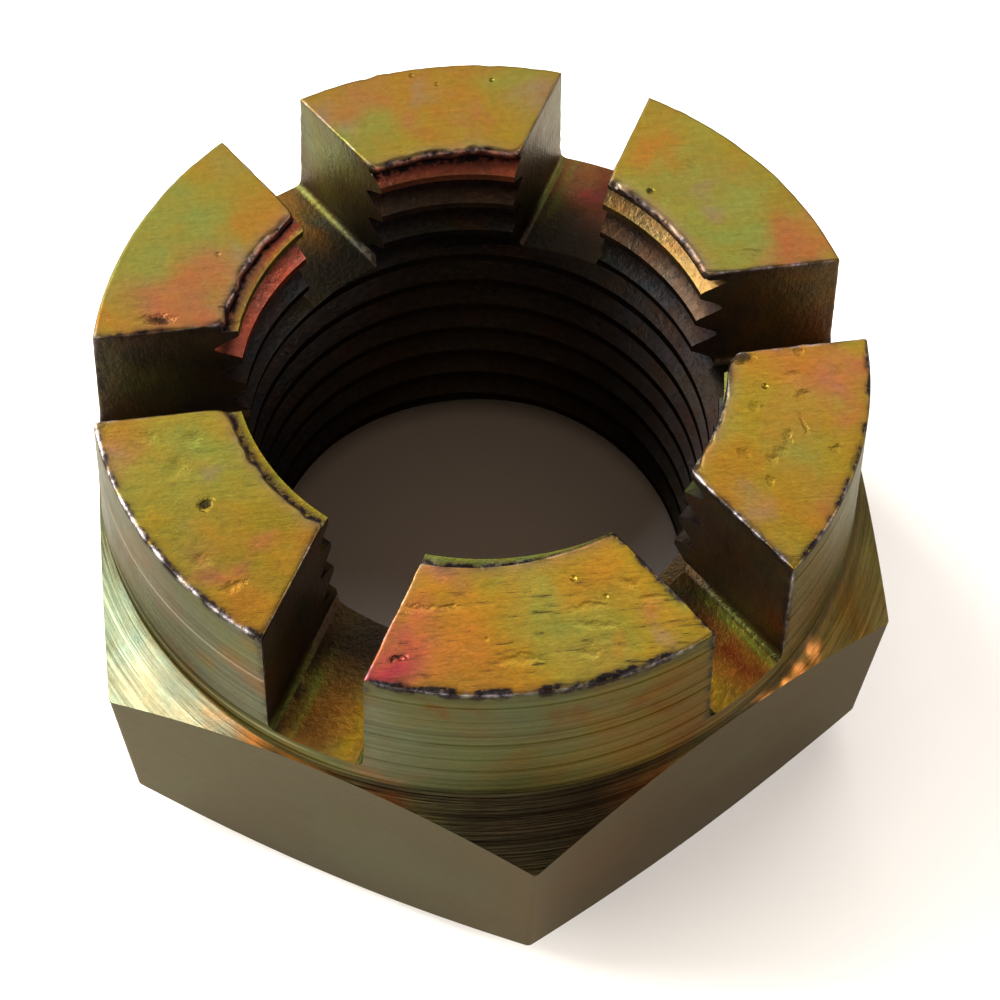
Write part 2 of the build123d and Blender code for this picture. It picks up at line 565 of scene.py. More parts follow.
# Stains on the crown's top: colour, angle about the axis in degrees, radius, size, strength
TOP_STAINS = (
    # Front merlon
    ("amber", -103, 13.4, 2.0, 0.8), ("amber", -97, 14.6, 1.8, 0.5), ("rose", -107, 14.4, 1.2, 0.7),
    ("rose", -104, 16.2, 1.6, 0.6), ("magenta", -112, 16.8, 2.2, 0.95),
    ("magenta", -110.5, 14.4, 0.9, 0.6), ("amber", -96, 16.6, 1.8, 0.7),
    ("olive", -84, 13.2, 1.5, 0.7), ("olive", -82, 15.0, 1.8, 0.5), ("olive", -78, 16.2, 1.4, 0.4),
    ("rose", -103, 11.8, 0.8, 0.7), ("amber", -74, 12.6, 1.5, 0.7), ("amber", -79, 15.8, 0.5, 0.9),
    ("rose", -69, 15.4, 0.8, 0.6), ("mauve", -88, 16.9, 0.7, 0.8), ("mauve", -68, 16.5, 0.6, 0.7),
    ("mauve", -106, 11.8, 0.6, 0.7),
    # Right merlon
    ("amber", -44, 12.6, 1.6, 0.7), ("mauve", -45, 14.0, 0.8, 0.7), ("rose", -36, 16.6, 0.9, 0.5),
    ("amber", -40, 16.0, 1.6, 0.5), ("amber", -10, 13.6, 2.0, 0.9), ("rose", -12, 15.8, 1.4, 0.8),
    ("rose", -20, 16.6, 0.9, 0.6), ("mauve", -12, 15.7, 0.5, 0.8), ("olive", -28, 14.4, 1.4, 0.5),
    ("rose", -8, 12.4, 0.9, 0.7),
    # Back right merlon
    ("olive", 22, 12.8, 2.2, 1.0), ("olive", 42, 13.4, 2.4, 0.8), ("olive", 30, 15.4, 1.8, 0.8),
    ("rose", 15, 15.4, 1.7, 0.7), ("amber", 16, 16.6, 1.2, 0.6), ("amber", 49, 14.2, 1.3, 0.9),
    ("mauve", 33, 13.8, 0.6, 0.7), ("rose", 20, 16.2, 0.8, 0.4),
    # Back merlon
    ("rose", 85, 13.4, 0.9, 0.8), ("amber", 92, 15.8, 2.6, 0.6), ("rose", 104, 16.4, 1.3, 0.5),
    ("rose", 99, 13.6, 1.0, 0.5), ("olive", 110, 13.6, 1.6, 0.7), ("olive", 78, 16.4, 1.4, 0.5),
    ("mauve", 111, 15.4, 0.9, 0.7), ("mauve", 73, 15.4, 0.8, 0.6), ("mauve", 93, 15.4, 0.7, 0.5),
    # Back left merlon
    ("olive", 145, 15.2, 2.4, 0.9), ("olive", 158, 16.4, 2.0, 0.9), ("rose", 157, 13.2, 1.6, 0.6),
    ("rose", 166, 14.6, 1.7, 0.7), ("rose", 165, 12.4, 1.2, 0.6), ("amber", 138, 12.4, 1.6, 0.8),
    ("amber", 168, 16.6, 0.9, 0.8), ("mauve", 150, 12.0, 0.8, 0.5),
    # Left merlon
    ("olive", 200, 13.6, 2.6, 0.6), ("olive", 206, 15.4, 2.0, 0.4), ("rose", 219, 16.2, 0.7, 0.7),
    ("rose", 222, 14.8, 0.6, 0.7), ("rose", 224, 13.4, 0.5, 0.6), ("amber", 228, 16.2, 1.2, 0.8),
    ("amber", 194, 16.4, 1.2, 0.8), ("amber", 228, 12.6, 1.0, 0.6), ("mauve", 196, 17.1, 1.0, 0.9),
    ("mauve", 212, 15.2, 0.4, 0.7), ("amber", 201, 14.3, 0.5, 0.8), ("mauve", 205, 13.6, 0.5, 0.6),
)

# Stains of every finish: colour, angle, radius, height, size, strength
STAINS = {
    TOP: [(name, turn, r, TOP_Z, *rest) for name, turn, r, *rest in TOP_STAINS],
    # Stains of the turned faces; the umber at both ends of the crown wall is painted shade
    TURNED: (
        ("copper", 316, 17.4, 17.0, 4.5, 0.8), ("copper", 292, 17.6, 15.6, 3.4, 0.9),
        ("copper", 290, 17.4, 19.0, 2.2, 0.7), ("rust", 293, 17.8, 14.4, 1.6, 0.7),
        ("rust", 274, 17.4, 19.3, 0.5, 0.6), ("rust", 277, 17.4, 19.2, 0.5, 0.7),
        ("rust", 281, 17.4, 19.4, 0.5, 0.7), ("rust", 285, 17.4, 19.5, 0.5, 0.7),
        ("rust", 289, 17.4, 18.4, 0.6, 0.6), ("rust", 293, 17.4, 18.2, 0.7, 0.6),
        ("sage", 254, 17.6, 16.4, 3.4, 0.8), ("sage", 268, 17.4, 20.4, 2.4, 0.7),
        ("silver", 250, 17.4, 19.6, 1.2, 0.6), ("silver", 249, 17.4, 17.0, 1.6, 0.5),
        ("rust", 258, 17.4, 20.3, 0.4, 0.6), ("rust", 263, 17.4, 20.4, 0.4, 0.6),
        ("rose", 248, 17.6, 14.6, 1.0, 0.4), ("umber", 194, 17.4, 17.0, 4.0, 0.5),
        ("umber", 346, 17.4, 18.6, 3.6, 0.5),
    ),
    # The shoulder's stains: the cream and mint on the left are painted highlights, the apricot
    # painted glints, and the umber painted shade
    SHOULDER: (
        ("sage", 188, 18.6, 12.8, 3.0, 0.95), ("umber", 188, 18.4, 13.0, 2.4, 0.6),
        ("mint", 200, 19.6, 12.0, 2.6, 0.8), ("mint", 208, 18.8, 12.6, 2.2, 0.9),
        ("cream", 214, 19.8, 11.9, 2.6, 0.8), ("mint", 218, 18.3, 13.0, 1.2, 0.5),
        ("cream", 223, 19.0, 12.6, 2.6, 0.98), ("cream", 222, 18.4, 13.0, 1.4, 0.9),
        ("apricot", 228, 18.3, 13.0, 1.1, 0.8),
        ("amber", 233, 18.3, 13.0, 1.3, 0.95), ("amber", 224, 18.0, 13.2, 0.6, 0.8),
        ("sage", 203, 19.6, 12.0, 2.0, 0.6), ("apricot", 231, 18.7, 12.8, 0.6, 0.9),
        ("apricot", 224.5, 18.3, 13.0, 0.5, 0.9), ("apricot", 238, 18.6, 12.9, 0.9, 0.7),
        ("rose", 241, 18.4, 13.0, 0.7, 0.8), ("apricot", 245, 18.2, 13.1, 0.3, 0.8),
        ("honey", 243, 18.2, 13.1, 1.6, 0.8), ("rust", 250, 18.2, 13.1, 1.4, 0.7),
        ("umber", 262, 18.8, 12.6, 3.4, 0.95), ("umber", 276, 18.8, 12.6, 3.4, 0.95),
        ("umber", 270, 20.2, 11.8, 2.6, 0.8), ("rust", 288, 18.4, 12.9, 2.2, 0.7),
        ("honey", 300, 18.1, 13.2, 1.8, 0.7), ("honey", 312, 18.2, 13.1, 3.2, 0.9),
        ("honey", 328, 18.8, 12.6, 3.4, 0.9), ("honey", 342, 18.2, 13.1, 2.6, 0.7),
        ("apricot", 305, 17.9, 13.2, 0.3, 0.9), ("apricot", 308, 18.0, 13.2, 0.35, 0.9),
        ("apricot", 311, 17.9, 13.3, 0.3, 0.9), ("apricot", 314, 18.2, 13.1, 0.4, 0.9),
        ("apricot", 318, 18.3, 13.1, 0.35, 0.7),
    ),
    # The flats' stains; the bronze on the right flats is partly a painted reflection of a dark brown
    # floor
    FLAT: (
        ("bronze", 282, 19.0, 6.0, 8.0, 0.8), ("bronze", 315, 18.2, 6.0, 10.0, 0.72),
        ("rust", 281, 19.6, 7.0, 3.0, 0.25), ("umber", 292, 18.8, 6.0, 2.2, 0.25),
        ("sage", 305, 18.1, 8.0, 1.8, 0.3), ("sage", 250, 18.3, 5.5, 3.2, 0.4),
        ("sage", 260, 19.4, 7.0, 2.0, 0.3), ("umber", 238, 18.1, 8.5, 2.5, 0.12),
        ("bronze", 229, 18.6, 6.0, 2.4, 0.25), ("umber", 258, 19.0, 8.0, 2.6, 0.2),
    ),
    # The slots' stains: the pitch, and the shade next to the bore, are painted shade; the mint and
    # moss lines at the walls' feet are painted highlights
    SLOT: (
        # Floor and walls between the left and front merlons
        ("amber", 244, 16.6, 14.75, 1.0, 0.8), ("ochre", 243, 17.6, 14.75, 1.2, 0.9),
        ("rust", 238, 16.6, 14.75, 0.9, 0.9), ("moss", 236, 14.6, 14.9, 0.5, 0.9),
        ("moss", 234.5, 16.4, 14.9, 0.5, 0.7), ("shade", 242, 12.4, 14.75, 1.8, 0.9),
        ("rust", 230, 17.2, 15.6, 1.6, 0.7),
        # Between the front and right merlons
        ("rust", 302, 15.0, 14.75, 0.8, 0.9), ("amber", 306, 17.0, 14.75, 1.2, 0.7),
        ("moss", 296, 15.6, 14.75, 0.7, 0.8), ("shade", 302, 12.4, 14.75, 1.6, 0.8),
        ("rust", 310, 17.0, 16.0, 1.6, 0.8),
        # Between the right and back right merlons
        ("copper", 8, 15.4, 18.0, 3.4, 0.8), ("rust", 8, 17.0, 17.0, 1.6, 0.8),
        ("ochre", 8, 16.4, 19.2, 2.4, 0.5), ("shade", 8, 12.4, 18.0, 1.8, 0.4),
        # Between the back right and back merlons
        ("magenta", 60, 16.4, 14.75, 1.8, 0.8), ("magenta", 55, 15.0, 14.75, 0.9, 0.6),
        ("moss", 67.5, 14.2, 14.9, 0.6, 0.8), ("amber", 63, 13.6, 14.75, 0.6, 0.7),
        ("rust", 58, 12.4, 14.75, 1.4, 0.9), ("silver", 70, 16.4, 19.8, 1.8, 0.6),
        ("pitch", 69, 13.4, 16.4, 2.8, 0.9),
        # Between the back and back left merlons
        ("silver", 113, 16.6, 20.4, 1.8, 0.8), ("moss", 113, 14.6, 19.4, 2.2, 0.7),
        ("olive", 114, 14.8, 17.6, 1.8, 0.6), ("mint", 116, 14.6, 14.95, 0.7, 0.9),
        ("mint", 114.5, 12.8, 14.95, 0.5, 0.9), ("amber", 125, 15.8, 14.75, 1.4, 0.7),
        ("rust", 122, 12.4, 14.75, 1.3, 0.8), ("pitch", 113.5, 12.4, 16.4, 2.8, 0.95),
        # Between the back left and left merlons
        ("olive", 172, 15.4, 18.0, 1.8, 0.3), ("sage", 171, 14.6, 17.6, 3.0, 0.3),
        ("mauve", 171, 16.0, 20.0, 0.3, 0.6),
    ),
    # The bore's stains: the pitch is painted shade, and the shade and silver patches at the back are
    # painted light
    THREAD: (
        ("straw", 262, 11.4, 9.0, 8.0, 0.95), ("straw", 278, 11.4, 5.0, 8.0, 0.95),
        ("pitch", 350, 11.4, 14.0, 6.0, 0.8),
        ("pitch", 20, 11.4, 9.0, 8.0, 0.8), ("pitch", 180, 11.4, 11.0, 9.0, 0.9),
        ("shade", 90, 11.4, 7.0, 8.0, 0.5), ("silver", 90, 11.4, 4.0, 6.0, 0.12),
    ),
}


def merlon_grids(m, u, depth, corner, s):
    """A merlon's five grids, each with its finish and whether it is turned over: the thread, the
    outer wall, two slot walls that run straight between those, and the top. The thread's rows
    follow the helix and end in the lip's. Also gives the thread's angles and radii."""
    base_z = crest_height(corner, s)
    slack = s.pitch * 0.15
    offsets = helix_offsets(UPPER_ROWS, s.floor_z - base_z - slack, s.height - base_z + slack, s)
    count = len(offsets) + len(LIP_ROWS)

    def heights(turn):
        """Heights of the thread's rows, kept between the floor and the lip, then the lip's."""
        first, last = turn[:, :1], turn[:, -1:]
        rows = np.clip(crest_height(first, s) + offsets, s.floor_z, s.height - lip_depth(first, s))
        return np.concatenate([rows, s.height - LIP_ROWS * lip_depth(last, s)], 1)

    turn, r, z = settle(
        lambda r, z: merlon_turn(u[:, None], r, z, m, s), heights, mouth_radius,
        np.full((1, count), (s.crest_radius + s.root_radius) / 2), s,
    )
    rows = wall_heights(count, s)
    wall_r = crown_radius(rows, s)
    wall = polar(merlon_turn(u[:, None], wall_r, rows, m, s), wall_r, rows)
    grids = [(polar(turn, r, z), THREAD, True), (wall, TURNED, False)]
    for side in (0, 1):
        side_r = r[-side] + depth[:, None] * (wall_r - r[-side])
        side_z = z[-side] + depth[:, None] * (rows - z[-side])
        points = polar(merlon_turn(side, side_r, side_z, m, s), side_r, side_z)
        grids.append((points, SLOT, side == 1))
    top_r = r[:, -1:] + depth * (wall_r[-1] - r[:, -1:])
    top = polar(merlon_turn(u[:, None], top_r, s.height, m, s), top_r, s.height)
    grids.append((top, TOP, True))
    return grids, turn, r


def top_film(tint, points, mouth, n, palette):
    """A merlon's top: its own level of painted light and shade, and the rubbed film within 0.4 mm of
    the mouth.
    """
    inward = np.hypot(points[..., 0], points[..., 1]) - mouth
    return mixed(tint * TOP_LEVEL[n], "mauve", LIP_RUB[n] * bell(inward, 0.4), palette)


def slot_film(tint, points, s, palette):
    """A slot wall: painted shade along its foot, and a painted green highlight there where it nears
    the outside.
    """
    reach = smooth(12.5, 16.0, np.hypot(points[..., 0], points[..., 1]))
    foot = 0.4 * bell(points[..., 2] - s.floor_z, 0.25)
    return mixed(mixed(tint, "pitch", foot, palette), "moss", foot * reach, palette)


def thread_film(tint, points, turn, r, n, s, palette):
    """A merlon's thread: the films of its first two turns, partly painted light as they are lighter
    than the turns below, painted shade in the roots below the first, a green first crest and a
    rubbed lip.
    Also gives the share of painted shadow in the hollow under the lip."""
    deep = s.height - points[..., 2]
    # Each turn's film ends between two depths below the top, in millimetres; where it is lighter
    # than the film below, it is painted light
    for names, low, high in ((SECOND_TURN, 3.9, 3.2), (FIRST_TURN, 2.0, 1.5)):
        tint = mixed(tint, names[n], 0.9 * smooth(low, high, deep), palette)
    # Painted shade in the roots, below the first turn
    root = smooth(s.crest_radius + 0.25, s.crest_radius + 0.5, r)
    tint = mixed(tint, "pitch", 0.85 * root * smooth(1.7, 2.1, deep), palette)
    crest = smooth(s.crest_radius + 0.3, s.crest_radius, r) * smooth(2.1, 1.6, deep)
    tint = mixed(tint, "moss", CREST_MOSS[n] * crest, palette)
    thick = lip_depth(turn, s)
    on_lip = deep < thick - WELD
    tint = mixed(tint, "mauve", LIP_RUB[n] * on_lip, palette)
    # Painted shadow in the hollow under the lip, given as part of the dark share
    mouth = lip_radius(turn, s)
    hollow = np.where(on_lip, 1, smooth(mouth - 0.2, mouth, r)) * bell(deep - thick, 0.14)
    return tint, 0.95 * hollow


def notch_floor(n, t, depth, floor_r, s, palette):
    """The floor of notch n, a grid from the thread to the crown's wall at the places t across
    it, with its film: bands along the notch, a level, and painted shade darker towards the bore.
    Also gives the angles where it meets the thread."""
    notch = s.notches[n]
    turn, inner_r, _ = settle(
        lambda r, z: notch_turn(t, r, notch, s), lambda turn: s.floor_z, thread_radius,
        (s.crest_radius + s.root_radius) / 2, s,
    )
    r = inner_r[:, None] + depth * (floor_r - inner_r[:, None])
    points = polar(notch_turn(t[:, None], r, notch, s), r, s.floor_z)
    tint = tinted(points, SLOT, "ochre", palette)
    for name, place, half, strength in FLOOR_BANDS[n]:
        band = bell(t[:, None] - place, half) * smooth(11.8, 14.0, r)
        band = band * strength * np.clip(0.85 + 0.3 * ripple(points, 1.2, 21), 0, 1)
        tint = mixed(tint, name, band, palette)
    # Painted light and shade: the notch's level, and darker towards the bore
    return points, tint * FLOOR_LEVEL[n] * (0.1 + 0.9 * smooth(12.6, 16.2, r))[..., None], turn


def lower_grids(out, inner, s):
    """The strip round the whole nut below the slots, each grid with its finish and base film.
    out holds the angles of its columns outside, and inner in the bore."""
    # Foot of the crown, with closer rows at the undercut
    z = np.concatenate([
        np.linspace(s.floor_z, s.shoulder_z + 0.5, 6), s.shoulder_z + np.linspace(0.4, 0, 7)
    ])
    foot = polar(out, crown_radius(z, s), z)
    # Shoulder: a cone out to the hexagon
    hexagon = hex_radius(out, s)
    start = crown_radius(s.shoulder_z, s)
    v = np.concatenate([np.linspace(0, 0.94, 12), [0.975, 1]])
    r = start + v * (hexagon - start)
    shoulder_drop = (r - start) * tan(s.shoulder_angle)
    shoulder = polar(out, r, s.shoulder_z - shoulder_drop)
    # Flats
    top = s.shoulder_z - (hexagon - start) * tan(s.shoulder_angle)
    bottom = (hexagon - s.bearing_radius) * tan(s.chamfer_angle)
    v = np.concatenate([[0, 0.012], np.linspace(0.04, 0.98, 8), [1]])
    flats = polar(out, hexagon, top + v * (bottom - top))
    # Chamfer under the corners
    v = np.linspace(0, 1, 5)
    r = hexagon + v * (s.bearing_radius - hexagon)
    chamfer = polar(out, r, (r - s.bearing_radius) * tan(s.chamfer_angle))
    # Bearing face
    v = np.linspace(0, 1, 6)
    r = s.bearing_radius + v * (s.countersink_radius - s.bearing_radius)
    bearing = polar(out + v * (inner - out), r, 0.0)
    # Bore: the thread, cut back by the lead-in cone
    base = crest_height(inner[0, 0], s)
    offsets = helix_offsets(LOWER_ROWS, -base - s.pitch - 0.5, s.floor_z - base + 0.5, s)
    z = np.clip(crest_height(inner, s) + offsets, 0, s.floor_z)
    r = np.maximum(thread_radius(inner, z, s), s.countersink_radius - z)
    return (
        (foot, TURNED, "turned"), (shoulder, SHOULDER, "turned"), (flats, FLAT, "satin"),
        (chamfer, TURNED, "satin"), (bearing, TURNED, "gold"), (polar(inner, r, z), THREAD, "bore"),
    )


def closed_ring(angles):
    """The columns' angles once round the axis, with the first one repeated a turn later."""
    ring = np.concatenate(angles)
    return np.append(ring, ring[0] + tau)[:, None]


def nut_mesh(s, palette):
    """The whole nut: a strip that closes round the axis from the slot floors down the outside,
    across the bearing face and up the bore, the notch floors, and the merlons' five grids."""
    shell = Shell()
    depth = depth_lines()
    t = np.linspace(-1, 1, NOTCH_COLUMNS)
    floor_r = crown_radius(s.floor_z, s)
    ring_out, ring_in = [], []
    for n, name in enumerate(MERLONS):
        low, high = s.notches[n - 1], s.notches[n]
        if n == 0:
            low = (low[0] - tau, low[1])
        m = (low, high)
        corner = -pi / 2 + n * SIXTH
        u = merlon_lines(m, corner, s)
        grids, turn, r = merlon_grids(m, u, depth, corner, s)
        for points, kind, flip in grids:
            moved, gaps = soften(points, m, s)
            bright, dark = wear(points, gaps, EDGE_STYLE[name])
            base = {TOP: "gold", TURNED: WALLS[n], SLOT: "shade", THREAD: "bore"}[kind]
            tint = tinted(points, kind, base, palette)
            if kind == TOP:
                tint = top_film(tint, points, r[:, -1:], n, palette)
            elif kind == SLOT:
                tint = slot_film(tint, points, s, palette)
            elif kind == THREAD:
                tint, hollow = thread_film(tint, points, turn, r, n, s, palette)
                # The dark share also carries the painted shadow under the lip
                dark = np.maximum(dark, hollow)
            shell.add(moved, kind, flip, tint, bright, dark)
        points, tint, floor_turn = notch_floor(n, t, depth, floor_r, s, palette)
        shell.add(points, SLOT, True, tint)
        # The notch's end columns are the merlons' own
        ring_out += [merlon_turn(u, floor_r, s.floor_z, m, s), notch_turn(t, floor_r, high, s)[1:-1]]
        ring_in += [turn[:, 0], floor_turn[1:-1]]

    for points, kind, base in lower_grids(closed_ring(ring_out), closed_ring(ring_in), s):
        tint = tinted(points, kind, base, palette)
        if kind in (TURNED, SHOULDER):
            # Painted shade: a dark line in the groove along the crown's foot, fainter at the left
            line = bell(points[..., 2] - s.shoulder_z - 0.1, 0.3)
            line = line * (0.3 + 0.6 * smooth(-9.0, -6.0, points[..., 0]))
            tint = mixed(tint, "umber", line, palette)
        shell.add(points, kind, True, tint)
    return shell.mesh("castle_nut_body")


def add_node(tree, kind, inputs=None, **settings):
    """Adds one shader node: settings are its properties, and inputs give each socket a value,
    the output socket that feeds it, or a node whose first usable output does. In a MapRange,
    sockets 1 to 4 are from low, from high, to low and to high; a Mix of colours has its share
    at 0 and its colours at 6 and 7."""
    node = tree.nodes.new("ShaderNode" + kind)
    for key, value in settings.items():
        setattr(node, key, value)
    for key, value in (inputs or {}).items():
        if isinstance(value, bpy.types.Node):
            value = next(output for output in value.outputs if output.enabled)
        socket = node.inputs[key]
        if isinstance(value, bpy.types.NodeSocket):
            tree.links.new(value, socket)
        else:
            socket.default_value = value
    return node


def blank_material(name):
    """An empty node material, add_node for its tree, and a node that gives the object's own
    coordinates in millimetres."""
    material = bpy.data.materials.new(name)
    material.use_nodes = True
    material.node_tree.nodes.clear()
    node = partial(add_node, material.node_tree)
    place = node("TexCoord")
    mm = node("VectorMath", {0: place.outputs["Object"], "Scale": 1 / MM}, operation="SCALE")
    return material, node, mm


def tool_marks(node, mm, marks):
    """Lines cut round the crown at given heights: a colour ramp over the height takes each
    mark's level, with a plain one between; the levels are painted highlights and shade of the
    grooves. One ramp holds in general and one on the left, where the same grooves catch the light
    and its plain level is a little darker, and slow noise breaks the lines up round the crown. The
    ramps hold half of each level, and the result is doubled at the end."""
    low, high = 12.0, 22.0
    place = node("SeparateXYZ", {0: mm})
    share = node("MapRange", {0: place.outputs["Z"], 1: low, 2: high})
    ramps = []
    for side, plain in enumerate((1.0, 0.92)):
        ramp = node("ValToRGB", {0: share})
        stops = ramp.color_ramp.elements
        stops[0].position, stops[1].position = 0.0, 1.0
        stops[0].color = stops[1].color = (plain / 2, plain / 2, plain / 2, 1)
        for z, half, *levels in marks:
            for stop_z, level in ((z - half, plain), (z, levels[side]), (z + half, plain)):
                stop = stops.new((stop_z - low) / (high - low))
                stop.color = (level / 2, level / 2, level / 2, 1)
        ramps.append(ramp)
    left = node("MapRange", {0: place.outputs["X"], 1: -8.0, 2: -10.5})
    ramp = node("Mix", {0: left, 6: ramps[0], 7: ramps[1]}, data_type="RGBA")
    around = node("VectorMath", {0: mm, 1: (1, 1, 0.3)}, operation="MULTIPLY")
    patches = node("TexNoise", {"Vector": around, "Scale": 0.22, "Detail": 3.0, "Roughness": 0.6})
    fade = node("MapRange", {0: patches, 1: 0.3, 2: 0.46, 3: 0.5})
    lines = node("Mix", {0: fade, 6: (0.5, 0.5, 0.5, 1), 7: ramp}, data_type="RGBA")
    return node("VectorMath", {0: lines, "Scale": 2.0}, operation="SCALE")


def dents(node, mm, cloud, places):
    """Single dents in the crown's top: for each, the distance from its centre over its half
    length and half width gives a bowl, and the deepest bowl wins. Noise bends their outlines by
    up to 0.7 mm."""
    bend = 0.7
    mm = node(
        "VectorMath", {0: cloud.outputs["Color"], 1: (2 * bend, 2 * bend, 0), 2: mm},
        operation="MULTIPLY_ADD",
    )
    mm = node("VectorMath", {0: mm, 1: (bend, bend, 0)}, operation="SUBTRACT")
    deepest = 0.0
    for x, y, half_x, half_y, depth in places:
        off = node("VectorMath", {0: mm, 1: (x, y, TOP_Z)}, operation="SUBTRACT")
        share = node(
            "VectorMath", {0: off, 1: (1 / half_x, 1 / half_y, 0.5)}, operation="MULTIPLY"
        )
        reach = node("VectorMath", {0: share}, operation="LENGTH")
        bowl = node(
            "MapRange", {0: reach, 1: 0.1, 2: 1.3, 3: depth, 4: 0.0},
            interpolation_type="SMOOTHSTEP",
        )
        deepest = node("Math", {0: deepest, 1: bowl}, operation="MAXIMUM")
    return deepest


def yellow_chromate(name, palette, look):
    """Yellow chromate over zinc plate. The film is thin and uneven, so its colour drifts over a
    few millimetres and is broken by grain; it is gone along the edges, where pale metal or torn
    dark metal shows."""
    material, node, mm = blank_material(name)
    tint, bright, dark = [
        node("Attribute", attribute_name=field) for field in ("tint", "bright", "dark")
    ]

    # Film thickness drifts over 1.5 mm, from greener to redder
    cloud = node("TexNoise", {"Vector": mm, "Scale": 0.65, "Detail": 6.0, "Roughness": 0.62})
    drift = node("MapRange", {0: cloud, 1: 0.3, 2: 0.7})
    greener = 1 - look.drift * np.array((1.2, 0.2, -0.3))
    redder = 1 + look.drift * np.array((1.0, -0.3, -1.4))
    cast = node("Mix", {0: drift, 6: (*greener, 1), 7: (*redder, 1)}, data_type="RGBA")
    film = node("Mix", {0: 1.0, 6: tint, 7: cast}, data_type="RGBA", blend_type="MULTIPLY")

    # Grain of the pickled zinc, 0.3 mm, lighter and darker
    speck = node("TexNoise", {"Vector": mm, "Scale": 3.3, "Detail": 4.0, "Roughness": 0.7})
    level = node("MapRange", {0: speck, 1: 0.3, 2: 0.7, 3: 1 - look.grain, 4: 1 + look.grain})

    # Marks of the tool, 0.2 mm apart: rings that follow the height, or lines across a slot
    along = node("VectorMath", {0: mm, 1: look.lay}, operation="MULTIPLY")
    lines = node("TexNoise", {"Vector": along, "Scale": 4.0, "Detail": 5.0, "Roughness": 0.7})
    groove = node(
        "MapRange", {0: lines, 1: 0.34, 2: 0.6, 3: 1 - look.lines, 4: 1 + look.lines / 3}
    )
    shade = node("Math", {0: level, 1: groove}, operation="MULTIPLY")
    film = node("VectorMath", {0: film, "Scale": shade}, operation="SCALE")
    # The film is thicker along a slanted path, so it stays coloured at a glancing angle
    glance = (*look.glance, 1)
    if look.marks:
        rings = tool_marks(node, mm, look.marks)
        film = node("VectorMath", {0: film, 1: rings}, operation="MULTIPLY")
        glance = node("VectorMath", {0: look.glance, 1: rings}, operation="MULTIPLY")

    # Scores that the facing tool tore in the front merlon's top, dark and 2 mm long
    score = 0.0
    if look.scored:
        place = node("SeparateXYZ", {0: mm})
        front = node("MapRange", {0: place.outputs["Y"], 1: look.scored[0], 2: look.scored[1]})
        score = node("MapRange", {0: lines, 1: 0.43, 2: 0.32, 3: 0.0, 4: 0.85})
        score = node("Math", {0: score, 1: front}, operation="MULTIPLY")
    film = node("Mix", {0: score, 6: film, 7: (*palette["burr"], 1)}, data_type="RGBA")

    # Dents, darkened by painted shade, the deepest of them nearly black
    hollow = dents(node, mm, cloud, look.dents) if look.dents else 0.0
    gloom = node("MapRange", {0: hollow, 1: 0.1, 2: 0.3, 3: 1.0, 4: 0.12})
    film = node("VectorMath", {0: film, "Scale": gloom}, operation="SCALE")

    # Torn edges dark, with the painted shadow under the lip, then rubbed edges pale, all broken into
    # specks
    for field, metal, specks in (
        (dark, "burr", {1: 0.36, 2: 0.56, 3: 0.5, 4: 1.8}),
        (bright, "bare", {1: 0.38, 2: 0.6, 3: 1.7, 4: 0.2}),
    ):
        broken = node("MapRange", {0: speck, **specks})
        gone = node(
            "Math", {0: broken, 1: field.outputs["Fac"]}, operation="MULTIPLY", use_clamp=True
        )
        film = node("Mix", {0: gone, 6: film, 7: (*palette[metal], 1)}, data_type="RGBA")

    # Pits 0.3 mm across, in half of the cells of 1.2 mm, over finer unevenness
    cells = node("TexVoronoi", {"Vector": mm, "Scale": 0.83, "Randomness": 1.0})
    chosen = node("SeparateColor", {0: cells.outputs["Color"]})
    deep = node("MapRange", {0: chosen, 1: 0.45, 2: 0.9, 3: 0.0, 4: -look.pits})
    bowl = node(
        "MapRange", {0: cells, 1: 0.03, 2: 0.15, 3: 1.0, 4: 0.0}, interpolation_type="SMOOTHSTEP"
    )
    skin = node("Math", {0: deep, 1: bowl}, operation="MULTIPLY")
    for pattern, height in (
        (cloud, look.swell), (speck, look.grit), (lines, look.cut), (hollow, -DENT_DEPTH)
    ):
        skin = node("Math", {0: pattern, 1: height, 2: skin}, operation="MULTIPLY_ADD")
    bump = node("Bump", {"Strength": 1.0, "Distance": MM, "Height": skin})

    rough = node(
        "MapRange",
        {0: cloud, 1: 0.3, 2: 0.7, 3: look.rough - look.haze, 4: look.rough + look.haze},
    )
    shader = node("BsdfPrincipled", {
        "Base Color": film, "Metallic": look.metallic, "Roughness": rough, "Normal": bump,
        "Specular Tint": glance,
    })
    node("OutputMaterial", {"Surface": shader})
    return material


